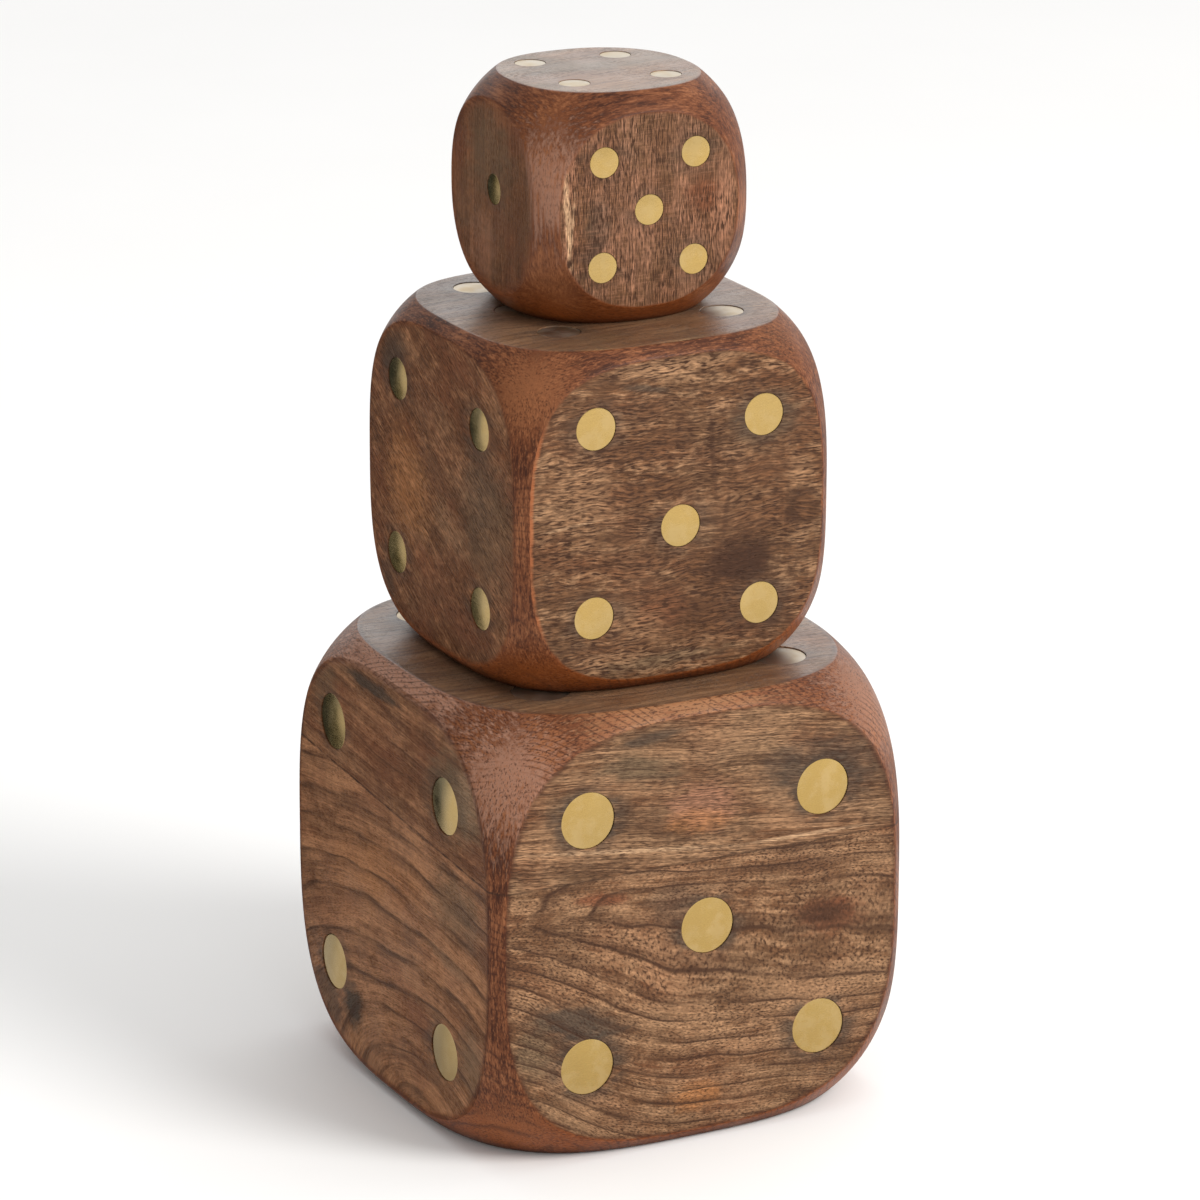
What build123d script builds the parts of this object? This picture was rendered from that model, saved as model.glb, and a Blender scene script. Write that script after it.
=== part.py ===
"""A stack of three graded wooden dice with inlaid brass pips.

Millimetres, +Z up. The origin is the middle of the large die's underside, so the stack
stands on z = 0. Every die's front faces -Y and its left side faces -X.
"""
import os
from math import sqrt

from build123d import *

# ---------------------------------------------------------------- driving dimensions
INCH = 25.4

# Each die is a cube with its edges and corners turned away. The three reaches are shares
# of half the die's edge: how far the middle of an edge and a corner lie from the centre,
# and the radius of the long curve that an edge follows from end to end.
DICE = {
    "large": {
        "edge": 6.0 * INCH,
        "edge_reach": 1.378,
        "corner_reach": 1.478,
        "edge_bow": 4.3,
        "pip_radius": 9.5,
        "pip_spread": 42.5,
        "shift": (0.0, 0.0),
        "turn": 0.0,
    },
    "middle": {
        "edge": 4.5 * INCH,
        "edge_reach": 1.370,
        "corner_reach": 1.468,
        "edge_bow": 4.3,
        "pip_radius": 7.0,
        "pip_spread": 30.3,
        "shift": (0.2, 0.8),
        "turn": 0.0,
    },
    "small": {
        "edge": 3.0 * INCH,
        "edge_reach": 1.306,
        "corner_reach": 1.344,
        "edge_bow": 1.77,
        "pip_radius": 5.0,
        "pip_spread": 16.5,
        "shift": (3.9, 6.9),
        "turn": -2.0,
    },
}
STACK_ORDER = ("large", "middle", "small")

# A pip is a brass disc bedded on the floor of its recess, flush with the wood.
PIP_THICKNESS = 3.0
PIP_GLUE_GAP = 0.15
PIP_EDGE_BREAK = 0.2

# The large block is glued up from two boards. The joint crosses the front face level,
# this far above the die's centre, and climbs towards the back.
SEAM_RISE = 22.0
SEAM_TILT = 4.0

# Opposite faces add up to seven.
PIPS_ON_FACE = {
    "large": {"front": 5, "back": 2, "left": 4, "right": 3, "top": 6, "bottom": 1},
    "middle": {"front": 5, "back": 2, "left": 4, "right": 3, "top": 6, "bottom": 1},
    "small": {"front": 5, "back": 2, "left": 1, "right": 6, "top": 4, "bottom": 3},
}
NUMBER_WORD = {1: "one", 2: "two", 3: "three", 4: "four", 5: "five", 6: "six"}

# Seen from outside a face, with its own up upwards, in shares of the pip spread.
TOP_LEFT, TOP_RIGHT = (-1, 1), (1, 1)
LOW_LEFT, LOW_RIGHT = (-1, -1), (1, -1)
MIDDLE, MIDDLE_LEFT, MIDDLE_RIGHT = (0, 0), (-1, 0), (1, 0)
PATTERN = {
    1: [MIDDLE],
    2: [TOP_LEFT, LOW_RIGHT],
    3: [TOP_LEFT, MIDDLE, LOW_RIGHT],
    4: [TOP_LEFT, TOP_RIGHT, LOW_LEFT, LOW_RIGHT],
    5: [TOP_LEFT, TOP_RIGHT, MIDDLE, LOW_LEFT, LOW_RIGHT],
    6: [TOP_LEFT, TOP_RIGHT, MIDDLE_LEFT, MIDDLE_RIGHT, LOW_LEFT, LOW_RIGHT],
}

# Pips are drilled by eye. These wander off their marks, in mm along and up the face.
WANDER = {
    ("large", "front", TOP_RIGHT): (1.5, -2.5),
    ("large", "front", MIDDLE): (1.5, -1.0),
    ("large", "front", LOW_RIGHT): (1.0, -1.5),
    ("large", "left", TOP_LEFT): (-1.5, 2.0),
    ("large", "left", TOP_RIGHT): (-2.0, -1.0),
    ("large", "left", LOW_LEFT): (-2.5, 0.5),
    ("large", "left", LOW_RIGHT): (-3.0, -2.0),
    ("large", "top", TOP_LEFT): (2.0, 4.0),
    ("large", "top", LOW_RIGHT): (1.0, -3.0),
    ("middle", "front", TOP_LEFT): (0.5, 2.5),
    ("middle", "front", TOP_RIGHT): (1.0, -0.5),
    ("middle", "front", MIDDLE): (1.0, -3.5),
    ("middle", "front", LOW_RIGHT): (0.0, -3.5),
    ("middle", "left", TOP_LEFT): (-1.0, 0.5),
    ("middle", "left", TOP_RIGHT): (-2.0, -1.5),
    ("middle", "left", LOW_LEFT): (-2.5, 1.0),
    ("middle", "left", LOW_RIGHT): (-1.5, -1.0),
    ("middle", "top", TOP_LEFT): (3.5, 5.0),
    ("middle", "top", MIDDLE_LEFT): (3.0, 4.0),
    ("middle", "top", LOW_LEFT): (3.0, 4.0),
    ("middle", "top", LOW_RIGHT): (1.5, 3.0),
    ("small", "front", TOP_LEFT): (0.5, 0.5),
    ("small", "front", TOP_RIGHT): (0.0, 1.0),
    ("small", "front", LOW_LEFT): (0.0, -1.0),
    ("small", "front", LOW_RIGHT): (-0.5, -1.5),
    ("small", "left", MIDDLE): (1.5, 2.5),
    ("small", "top", TOP_LEFT): (0.5, 1.5),
    ("small", "top", TOP_RIGHT): (-2.0, 1.0),
    ("small", "top", LOW_LEFT): (1.0, 2.0),
    ("small", "top", LOW_RIGHT): (0.5, 1.5),
}

# Face name to its outward normal and the direction that is to the right, seen from outside.
FACES = {
    "front": ((0, -1, 0), (1, 0, 0)),
    "back": ((0, 1, 0), (-1, 0, 0)),
    "left": ((-1, 0, 0), (0, -1, 0)),
    "right": ((1, 0, 0), (0, 1, 0)),
    "top": ((0, 0, 1), (1, 0, 0)),
    "bottom": ((0, 0, -1), (1, 0, 0)),
}


# ---------------------------------------------------------------- shapes
def barrel(mid_radius, bow_radius, half_length):
    """A round barrel along Z whose side is one long arc, widest at the middle."""
    end_radius = mid_radius - bow_radius + sqrt(bow_radius**2 - half_length**2)
    side = ThreePointArc((end_radius, -half_length), (mid_radius, 0), (end_radius, half_length))
    ends_and_axis = Polyline(
        (end_radius, half_length), (0, half_length), (0, -half_length), (end_radius, -half_length)
    )
    profile = make_face([side, ends_and_axis])
    return revolve(Plane.XZ * profile, Axis.Z)


def rounded_block(die):
    """The die's wood, centred on the origin: a cube inside a ball and three crossed barrels."""
    half = die["edge"] / 2
    past_the_faces = 1.04 * half
    side = barrel(die["edge_reach"] * half, die["edge_bow"] * half, past_the_faces)
    block = Box(die["edge"], die["edge"], die["edge"])
    block &= Sphere(die["corner_reach"] * half)
    for turned_barrel in (side, Rot(90, 0, 0) * side, Rot(0, 90, 0) * side):
        block &= turned_barrel
    return block


def face_plane(die, face):
    """The plane of one face, with x to the right and y up as seen from outside."""
    normal, to_the_right = FACES[face]
    half = die["edge"] / 2
    return Plane(origin=[half * part for part in normal], x_dir=to_the_right, z_dir=normal)


def pip_places(name, face):
    """Where the pips of a face go, as locations on the face with z pointing outwards."""
    die = DICE[name]
    plane = face_plane(die, face)
    places = []
    for mark in PATTERN[PIPS_ON_FACE[name][face]]:
        along, up = WANDER.get((name, face, mark), (0.0, 0.0))
        spot = (mark[0] * die["pip_spread"] + along, mark[1] * die["pip_spread"] + up)
        places.append(plane.location * Pos(*spot))
    return places


def disc(radius, thickness):
    """A round disc hanging below z = 0."""
    return Pos(0, 0, -thickness / 2) * Cylinder(radius, thickness)


def pip(radius):
    """One brass pip with its visible rim eased."""
    blank = disc(radius, PIP_THICKNESS)
    return chamfer(blank.edges().sort_by(Axis.Z)[-1], PIP_EDGE_BREAK)


def drilled_block(name):
    """The rounded block with a recess for every pip."""
    die = DICE[name]
    recess = disc(die["pip_radius"] + PIP_GLUE_GAP, PIP_THICKNESS)
    recesses = [place * recess for face in FACES for place in pip_places(name, face)]
    return rounded_block(die) - recesses


def seam_plane():
    """The glue joint of the large block, in that die's own centred frame."""
    front = -DICE["large"]["edge"] / 2
    return Plane(Location((0, front, SEAM_RISE), (SEAM_TILT, 0, 0)))


def wood_nodes(name):
    """The die's wood, as one block or as the boards that it is glued up from."""
    block = drilled_block(name)
    if name != "large":
        return {f"{name}_block": block}
    joint = seam_plane()
    return {
        "large_upper_board": split(block, bisect_by=joint, keep=Keep.TOP),
        "large_lower_board": split(block, bisect_by=joint, keep=Keep.BOTTOM),
    }


def pip_nodes(name):
    """One node of separate discs for each face of the die."""
    one_pip = pip(DICE[name]["pip_radius"])
    nodes = {}
    for face in FACES:
        count = PIPS_ON_FACE[name][face]
        noun = "pip" if count == 1 else "pips"
        discs = [place * one_pip for place in pip_places(name, face)]
        nodes[f"{name}_{NUMBER_WORD[count]}_{noun}"] = Compound(discs)
    return nodes


def stack_location(name):
    """Where a die's centre stands in the stack, and how it is turned."""
    below = STACK_ORDER[: STACK_ORDER.index(name)]
    height = sum(DICE[lower]["edge"] for lower in below) + DICE[name]["edge"] / 2
    across, back = DICE[name]["shift"]
    return Location((across, back, height), (0, 0, DICE[name]["turn"]))


# ---------------------------------------------------------------- output
def main():
    os.makedirs("parts", exist_ok=True)
    for name in STACK_ORDER:
        place = stack_location(name)
        nodes = {**wood_nodes(name), **pip_nodes(name)}
        for node, shape in nodes.items():
            export_step(place * shape, f"parts/{node}.step")
            print(f"{node}: {len(shape.solids())} solids, {shape.volume / 1000:.1f} cm3")


main()
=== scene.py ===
"""Looks for a stack of three graded wooden dice with brass pips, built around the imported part.

Metres, +Z up, in the part's own frame. Figures in the wood are laid out in millimetres on
each face of a die: u to the right, v up, as seen from outside, from the face's centre.
"""

from collections import namedtuple
from functools import partialmethod
from math import cos, radians, sin, tau

import bmesh
import bpy
import numpy as np
from mathutils import Matrix, Vector


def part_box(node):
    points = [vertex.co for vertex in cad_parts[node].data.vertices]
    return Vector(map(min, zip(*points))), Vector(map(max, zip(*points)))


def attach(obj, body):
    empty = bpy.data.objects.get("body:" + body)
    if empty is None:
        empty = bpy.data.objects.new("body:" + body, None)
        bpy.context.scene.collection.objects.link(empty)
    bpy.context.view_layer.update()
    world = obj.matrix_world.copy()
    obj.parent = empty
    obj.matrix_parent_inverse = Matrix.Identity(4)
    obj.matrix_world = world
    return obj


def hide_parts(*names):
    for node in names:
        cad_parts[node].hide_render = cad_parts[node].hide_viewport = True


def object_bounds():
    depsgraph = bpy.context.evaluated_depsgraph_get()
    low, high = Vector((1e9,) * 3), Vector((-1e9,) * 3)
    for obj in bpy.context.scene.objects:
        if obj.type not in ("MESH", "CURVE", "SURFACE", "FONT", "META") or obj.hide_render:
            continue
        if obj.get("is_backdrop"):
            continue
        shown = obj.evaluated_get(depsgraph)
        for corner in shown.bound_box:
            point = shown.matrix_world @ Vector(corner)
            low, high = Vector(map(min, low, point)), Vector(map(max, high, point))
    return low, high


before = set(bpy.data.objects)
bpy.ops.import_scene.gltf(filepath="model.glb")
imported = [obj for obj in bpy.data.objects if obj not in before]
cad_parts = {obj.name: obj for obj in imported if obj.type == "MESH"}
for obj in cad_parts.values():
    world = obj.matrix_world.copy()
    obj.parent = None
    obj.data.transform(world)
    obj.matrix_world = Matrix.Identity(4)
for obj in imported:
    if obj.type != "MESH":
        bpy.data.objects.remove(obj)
cad_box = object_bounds()

MM = 0.001

# ---- the dice
# Each die is a cube inside a rounder solid whose surface is |x|^power + |y|^power + |z|^power
# = reach^power, in half edges. Turn is about the upright axis, in degrees.
DICE = {
    "large": {"power": 3.105, "reach": 1.218, "turn": 0.0},
    "middle": {"power": 3.143, "reach": 1.208, "turn": 0.0},
    "small": {"power": 2.319, "reach": 1.2456, "turn": -2.0},
}
WOOD_NODES = {
    "large": ("large_upper_board", "large_lower_board"),
    "middle": ("middle_block",),
    "small": ("small_block",),
}
# Higher is a crisper crease where a flat face meets the rounding.
CREASE_CRISPNESS = 290.0

# Face name to its outward normal and the direction to the right, seen from outside.
FACES = {
    "front": ((0, -1, 0), (1, 0, 0)),
    "back": ((0, 1, 0), (-1, 0, 0)),
    "left": ((-1, 0, 0), (0, -1, 0)),
    "right": ((1, 0, 0), (0, 1, 0)),
    "top": ((0, 0, 1), (1, 0, 0)),
    "bottom": ((0, 0, -1), (1, 0, 0)),
}

# Rows of the mesh round each face: how far inside the crease, in half edges, and then how
# many rows from the crease to the neighbouring face, closest at the crease.
INNER_ROWS = (0.05, 0.03, 0.018, 0.010, 0.005, 0.002)
OUTER_ROWS = 18
OUTER_ROW_GROWTH = 1.7
ROWS_OF_FACE = 9  # rows that still carry the face's own material
COLUMNS = 256

# Pip recesses: the glue gap round the brass, the eased lip, and the depth.
PIP_GAP = 0.12 * MM
PIP_LIP = 0.10 * MM
PIP_DEPTH = 3.0 * MM
PIP_SIDES = 64
# Edges of the mesh that turn by more than this are shaded as sharp.
SHARP_ANGLE = radians(40)
# Corners closer together than this are the same corner.
SAME_SPOT = 0.001 * MM


def face_axes(face):
    """The face's right, up and outward directions."""
    normal, right = (Vector(part) for part in FACES[face])
    return right, normal.cross(right), normal


def die_place(die):
    """The die's placing in the stack and its half edge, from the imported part."""
    boxes = [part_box(node) for node in WOOD_NODES[die]]
    low = Vector(min(box[0][axis] for box in boxes) for axis in range(3))
    high = Vector(max(box[1][axis] for box in boxes) for axis in range(3))
    turn = Matrix.Rotation(radians(DICE[die]["turn"]), 4, "Z")
    return Matrix.Translation((low + high) / 2) @ turn, (high.z - low.z) / 2


def loose_parts(mesh_object):
    """The corner points of each separate solid in a CAD node."""
    mesh = bmesh.new()
    mesh.from_mesh(mesh_object.data)
    bmesh.ops.remove_doubles(mesh, verts=mesh.verts, dist=SAME_SPOT)
    waiting = set(mesh.verts)
    while waiting:
        reached = [waiting.pop()]
        for vert in reached:
            near = {edge.other_vert(vert) for edge in vert.link_edges} & waiting
            waiting -= near
            reached.extend(near)
        yield [vert.co.copy() for vert in reached]
    mesh.free()


def die_pips(die, place):
    """Every pip of the die as {face: [(u, v, radius), ...]}, in metres, and {face: its node}."""
    pips = {face: [] for face in FACES}
    nodes = {}
    to_die = place.inverted()
    for name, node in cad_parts.items():
        if not (name.startswith(die) and "pip" in name):
            continue
        for points in loose_parts(node):
            points = [to_die @ point for point in points]
            centre = sum(points, Vector()) / len(points)
            face = max(FACES, key=lambda each: face_axes(each)[2].dot(centre))
            right, up, _ = face_axes(face)
            across = [point.dot(right) for point in points]
            height = [point.dot(up) for point in points]
            middle_u = (min(across) + max(across)) / 2
            middle_v = (min(height) + max(height)) / 2
            pips[face].append((middle_u, middle_v, (max(across) - min(across)) / 2))
            nodes[face] = name
    for spots in pips.values():
        spots.sort()
    return pips, nodes


# ---- meshes
# A pip's face is filed into the faintest dome, and its rim is eased. Shares of its radius:
# how far out each ring lies, and how far it is below the middle.
PIP_PROFILE = (
    (0.30, 0.0036), (0.55, 0.0121), (0.75, 0.0225), (0.88, 0.0290), (0.95, 0.0325),
    (0.985, 0.0342), (1.0, 0.0380),
)


def pip_rings(mesh, place_on_face, pip, profile):
    """A ring of corners round the pip's centre for each radius and height of a profile."""
    u, v, _ = pip
    turns = [tau * k / PIP_SIDES for k in range(PIP_SIDES)]
    rings = []
    for size, height in profile:
        spots = [(u + size * cos(turn), v + size * sin(turn), height) for turn in turns]
        rings.append([mesh.verts.new(place_on_face(spot)) for spot in spots])
    return rings


def add_disc(mesh, place_on_face, pip):
    """One domed brass disc that fills its recess down to the floor."""
    u, v, radius = pip
    profile = [(radius * share, -radius * drop) for share, drop in PIP_PROFILE]
    rings = pip_rings(mesh, place_on_face, pip, profile + [(radius, -PIP_DEPTH)])
    middle = mesh.verts.new(place_on_face((u, v, 0.0)))
    first = rings[0]
    for k in range(PIP_SIDES):
        mesh.faces.new((middle, first[k], first[(k + 1) % PIP_SIDES]))
    for outer, inner in zip(rings[1:], rings):
        bridge(mesh, outer, inner)
    mesh.faces.new(rings[-1])


def on_face(face, half):
    """A function that puts a spot (u, v, height) onto a face of the die."""
    right, up, normal = face_axes(face)

    def place_on_face(spot):
        return right * spot[0] + up * spot[1] + normal * (half + spot[2])

    return place_on_face


def outline_reach(shape, angles):
    """How far the flat face reaches along each direction, in half edges."""
    power = shape["power"]
    reach = (shape["reach"] ** power - 1) ** (1 / power)
    spread = np.abs(np.cos(angles)) ** power + np.abs(np.sin(angles)) ** power
    return reach / spread ** (1 / power)


def surface_scale(shape, directions):
    """What each direction is multiplied by to land on the die's surface, in half edges."""
    size = np.abs(directions)
    cube = size.max(axis=-1)
    ball = (size ** shape["power"]).sum(axis=-1) ** (1 / shape["power"]) / shape["reach"]
    return (cube**CREASE_CRISPNESS + ball**CREASE_CRISPNESS) ** (-1 / CREASE_CRISPNESS)


def face_rows(shape):
    """Rows of points from just inside a face's crease out to the neighbouring faces."""
    angles = np.arange(COLUMNS) * tau / COLUMNS
    crease = outline_reach(shape, angles)
    square = 1 / np.maximum(np.abs(np.cos(angles)), np.abs(np.sin(angles)))
    rows = [crease - inset for inset in INNER_ROWS] + [crease]
    for row in range(1, OUTER_ROWS + 1):
        share = (row / OUTER_ROWS) ** OUTER_ROW_GROWTH
        rows.append(crease + (square - crease) * share)
    flat = np.array(rows)
    parts = [flat * np.cos(angles), flat * np.sin(angles), np.ones_like(flat)]
    directions = np.stack(parts, axis=-1)
    points = directions * surface_scale(shape, directions)[..., None]
    points[0, :, 2] = 1.0
    return points


def ring_edges(mesh, ring):
    """The edges that close a ring of corners."""
    return [mesh.edges.get(pair) or mesh.edges.new(pair) for pair in zip(ring, ring[1:] + ring[:1])]


def bridge(mesh, outer, inner):
    """Quads between two rings with the same number of corners."""
    count = len(outer)
    for k in range(count):
        j = (k + 1) % count
        mesh.faces.new((outer[k], outer[j], inner[j], inner[k]))


def add_recess(mesh, place_on_face, pip):
    """One pip's recess, with an eased lip. Gives the edges of its rim."""
    hole = pip[2] + PIP_GAP
    profile = ((hole + PIP_LIP, 0.0), (hole, -PIP_LIP), (hole, -PIP_DEPTH))
    rings = pip_rings(mesh, place_on_face, pip, profile)
    for outer, inner in zip(rings, rings[1:]):
        bridge(mesh, outer, inner)
    mesh.faces.new(rings[-1])
    return ring_edges(mesh, rings[0])


def add_face(mesh, shape, half, face, pips):
    """One face of the die with its recesses and its share of the rounding."""
    right, up, normal = face_axes(face)
    known = set(mesh.faces)
    rows = []
    for row in face_rows(shape) * half:
        rows.append([mesh.verts.new(right * p[0] + up * p[1] + normal * p[2]) for p in row])
    for outer, inner in zip(rows[ROWS_OF_FACE:], rows[ROWS_OF_FACE - 1 :]):
        bridge(mesh, outer, inner)
    rounding = set(mesh.faces) - known
    for outer, inner in zip(rows[1:ROWS_OF_FACE], rows):
        bridge(mesh, outer, inner)
    rims = ring_edges(mesh, rows[0])
    for pip in pips:
        rims += add_recess(mesh, on_face(face, half), pip)
    bmesh.ops.triangle_fill(mesh, edges=rims, use_beauty=True, normal=normal)
    slot = list(FACES).index(face)
    for polygon in set(mesh.faces) - known:
        polygon.material_index = len(FACES) if polygon in rounding else slot


def die_mesh(die, half, pips):
    """The whole rounded die with all its recesses, about its own centre."""
    mesh = bmesh.new()
    for face in FACES:
        add_face(mesh, DICE[die], half, face, pips[face])
    bmesh.ops.remove_doubles(mesh, verts=mesh.verts, dist=SAME_SPOT)
    bmesh.ops.recalc_face_normals(mesh, faces=mesh.faces)
    return mesh


def glue_joint(centre, half):
    """The large block's glue joint: its height at the middle and its climb to the back."""
    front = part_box("large_upper_board")[0].z - centre.z
    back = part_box("large_lower_board")[1].z - centre.z
    return (front + back) / 2, (back - front) / (2 * half)


def cut_at(mesh, joint, keep_above):
    """Cuts the mesh at the glue joint, keeps one side and closes it."""
    height, slope = joint
    everything = mesh.verts[:] + mesh.edges[:] + mesh.faces[:]
    cut = bmesh.ops.bisect_plane(
        mesh,
        geom=everything,
        plane_co=(0, 0, height),
        plane_no=(0, -slope, 1),
        clear_inner=keep_above,
        clear_outer=not keep_above,
    )
    edges = [part for part in cut["geom_cut"] if isinstance(part, bmesh.types.BMEdge)]
    bmesh.ops.edgeloop_fill(mesh, edges=edges)
    bmesh.ops.recalc_face_normals(mesh, faces=mesh.faces)


# ---- shader graphs
class Field:
    """A number that changes over a surface, with sums, products and powers."""

    def __init__(self, shader, socket):
        self.shader = shader
        self.socket = socket

    def maths(self, operation, *others):
        return self.shader.maths(operation, self, *others)

    __add__ = partialmethod(maths, "ADD")
    __sub__ = partialmethod(maths, "SUBTRACT")
    __mul__ = partialmethod(maths, "MULTIPLY")
    __truediv__ = partialmethod(maths, "DIVIDE")
    __pow__ = partialmethod(maths, "POWER")
    __abs__ = partialmethod(maths, "ABSOLUTE")
    least = partialmethod(maths, "MINIMUM")
    most = partialmethod(maths, "MAXIMUM")
    part = partialmethod(maths, "FRACT")  # what is left over after the whole number

    def __rsub__(self, other):
        return self.shader.maths("SUBTRACT", other, self)

    def ease(self, low, high, start=0.0, end=1.0):
        """A smooth step from start at low to end at high."""
        node = self.shader.node(
            "ShaderNodeMapRange",
            {"Value": self, "From Min": low, "From Max": high, "To Min": start, "To Max": end},
            interpolation_type="SMOOTHSTEP",
        )
        return Field(self.shader, node.outputs["Result"])


class Graph:
    """A graph of shader nodes under construction."""

    def __init__(self, tree):
        self.nodes = tree.nodes
        self.links = tree.links
        self.nodes.clear()

    def node(self, kind, inputs=None, **settings):
        """A new node with its settings, and its inputs plugged in or set."""
        node = self.nodes.new(kind)
        for key, value in settings.items():
            setattr(node, key, value)
        for key, value in (inputs or {}).items():
            self.plug(node.inputs[key], value)
        return node

    def plug(self, socket, value):
        if isinstance(value, Field):
            value = value.socket
        if isinstance(value, bpy.types.NodeSocket):
            self.links.new(value, socket)
        else:
            socket.default_value = value

    def maths(self, operation, *values):
        node = self.node("ShaderNodeMath", dict(enumerate(values)), operation=operation)
        return Field(self, node.outputs[0])

    def place(self):
        """The point on the surface in the object's own frame, in millimetres."""
        spot = self.node("ShaderNodeTexCoord").outputs["Object"]
        parts = self.node("ShaderNodeSeparateXYZ", {0: spot}).outputs
        return [Field(self, part) * (1 / MM) for part in parts]

    def vector(self, x, y, z):
        return self.node("ShaderNodeCombineXYZ", {0: x, 1: y, 2: z}).outputs[0]

    def noise(self, spot, detail, roughness=0.5):
        """Smooth noise about 0.5 for a spot already divided by the size of its lumps."""
        inputs = {"Vector": self.vector(*spot), "Scale": 1.0}
        inputs.update({"Detail": detail, "Roughness": roughness})
        return Field(self, self.node("ShaderNodeTexNoise", inputs).outputs["Fac"])

    def clouds(self, spot, size, detail, seed=0.0):
        """Noise with lumps of one size, in mm."""
        x, y, z = spot
        return self.noise((x / size + seed, y / size, z / size), detail)

    def cells(self, spot):
        """Distance to the nearest cell centre, and a number of that cell's own."""
        inputs = {"Vector": self.vector(*spot), "Scale": 1.0, "Randomness": 1.0}
        node = self.node("ShaderNodeTexVoronoi", inputs)
        own = self.node("ShaderNodeSeparateColor", {0: node.outputs["Color"]}).outputs[0]
        return Field(self, node.outputs["Distance"]), Field(self, own)

    def mix(self, share, first, second, blend="MIX"):
        """Colour first where share is 0, second where it is 1."""
        node = self.node("ShaderNodeMix", data_type="RGBA", blend_type=blend)
        sockets = [s for s in node.inputs if s.enabled]
        for socket, value in zip(sockets, (share, first, second)):
            self.plug(socket, value)
        return next(s for s in node.outputs if s.enabled)

    def lay(self, colour, *layers):
        """Tints laid over a colour in turn, each with its share."""
        for share, tint in layers:
            colour = self.mix(share, colour, tint)
        return colour


class Shader(Graph):
    """A material under construction."""

    def __init__(self, name):
        self.material = bpy.data.materials.new(name)
        self.material.use_nodes = True
        super().__init__(self.material.node_tree)

    def finish(self, colour, roughness, height, bump_distance, metallic=0.0, **constants):
        """The shader itself. Constants go straight on its sockets."""
        bump = self.node("ShaderNodeBump", {"Height": height, "Distance": bump_distance})
        inputs = {"Base Color": colour, "Roughness": roughness, "Metallic": metallic}
        inputs.update(constants, Normal=bump.outputs[0])
        surface = self.node("ShaderNodeBsdfPrincipled", inputs)
        self.node("ShaderNodeOutputMaterial", {"Surface": surface.outputs[0]})
        return self.material


# ---- wood
TAN = (0.315, 0.172, 0.088, 1)
WARM_TAN = (0.400, 0.188, 0.088, 1)
WARM_BROWN = (0.125, 0.048, 0.020, 1)
BROWN = (0.120, 0.053, 0.023, 1)
DARK = (0.030, 0.013, 0.007, 1)
RED = (0.165, 0.054, 0.023, 1)
ORANGE = (0.370, 0.152, 0.052, 1)
OLIVE = (0.130, 0.086, 0.048, 1)
SLATE = (0.050, 0.038, 0.028, 1)
PINK = (0.330, 0.155, 0.088, 1)
CREAM = (0.520, 0.320, 0.180, 1)
UMBER = (0.052, 0.022, 0.011, 1)

# How thick the varnish lies and how much it shines: most of it stays on the tops.
COAT = {"top": 0.45, "rounding": 0.03}
PLAIN_COAT = 0.02
GLOSS = {"top": 0.5, "left": 0.06, "rounding": 0.15}
PLAIN_GLOSS = 0.14
COAT_ROUGHNESS = 0.25
VARNISH_IOR = 1.46
VARNISH_CLOUD = 18.0
SATIN = (0.36, 0.52)  # roughness of the wood from its smoothest to its driest cloud
PORE_ROUGHNESS = 0.18  # how much rougher a pore is
PORE_DEPTH = 0.12 * MM
HALF = 0.5  # the middle of every noise

# A plain face. Lengths, widths and gaps are in mm. Rings, threads (long hair lines), mottle
# (small blotches), streaks, dashes (crowded and short), pores (sparser), olive, red, halo
# (the stain round the pips) and ray_fleck are strengths.
PLAIN_FIGURE = {
    "seed": 0.0,  # where in the noise this face's wood is cut from
    "grain": 0.0,  # which way the fibres run, in degrees anticlockwise from u
    "sway": 3.0,  # how far the fibres wander sideways, in mm
    "sway_length": 45.0,
    "pith": None,  # (u, v, slope to the left, slope to the right) of a cathedral's heart
    "arched": False,  # whether all the fibres follow the cathedral's rings
    "ring_unrest": 1.6,  # how unevenly the rings are spaced
    "ring_gap": 4.0,  # from one ring line to the next
    "ring_core": 0.45,  # half the width of a ring's dark core
    "rings": 0.5,
    "threads": 0.4,
    "thread_width": 0.55,
    "fall": 0.0,  # how far the fibres low on the face fall from left to right, in mm
    "swing": 1.0,  # how far the tone swings between the light and the dark colour
    "mottle": 0.3,
    "streaks": 0.5,
    "streak_length": 30.0,
    "streak_width": 0.8,
    "dashes": 0.6,
    "dash_length": 1.7,
    "dash_width": 0.42,
    "dash_level": 0.53,  # the lower this is, the more dashes there are
    "pores": 0.5,
    "pore_share": 0.6,
    "pore_length": 2.4,
    "pore_width": 0.38,
    "light": TAN,
    "dark": BROWN,
    "balance": 0.5,  # how much of the light colour there is
    "olive": 0.35,
    "red": 0.25,
    "halo": 0.5,
    "ray_fleck": 0.0,
    "ragged": 0.02,  # how ragged the outline is, as a share of the face's reach
    "fade": 0.021,  # how wide the outline's fade into the rounding is
    "spots": (),  # (u, v, half length, half height, tilt, colour, strength)
}
# How far the seed number of a face shifts it through the noise.
SEED_STEP = 13.7
# Between which u, and which v, in mm, the falling fibres set in.
FALL_ALONG = (-88.0, -5.0)
FALL_DOWN = (16.0, -36.0)
# The slow and the quick sideways wander of the fibres, in sways.
SLOW_SWAY = 4.0
QUICK_SWAY = 0.9
SWAY_HEIGHT = 0.45  # height of a slow bend as a share of its length
QUICK_LENGTH = 14.0
QUICK_WIDTH = 5.0

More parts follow.
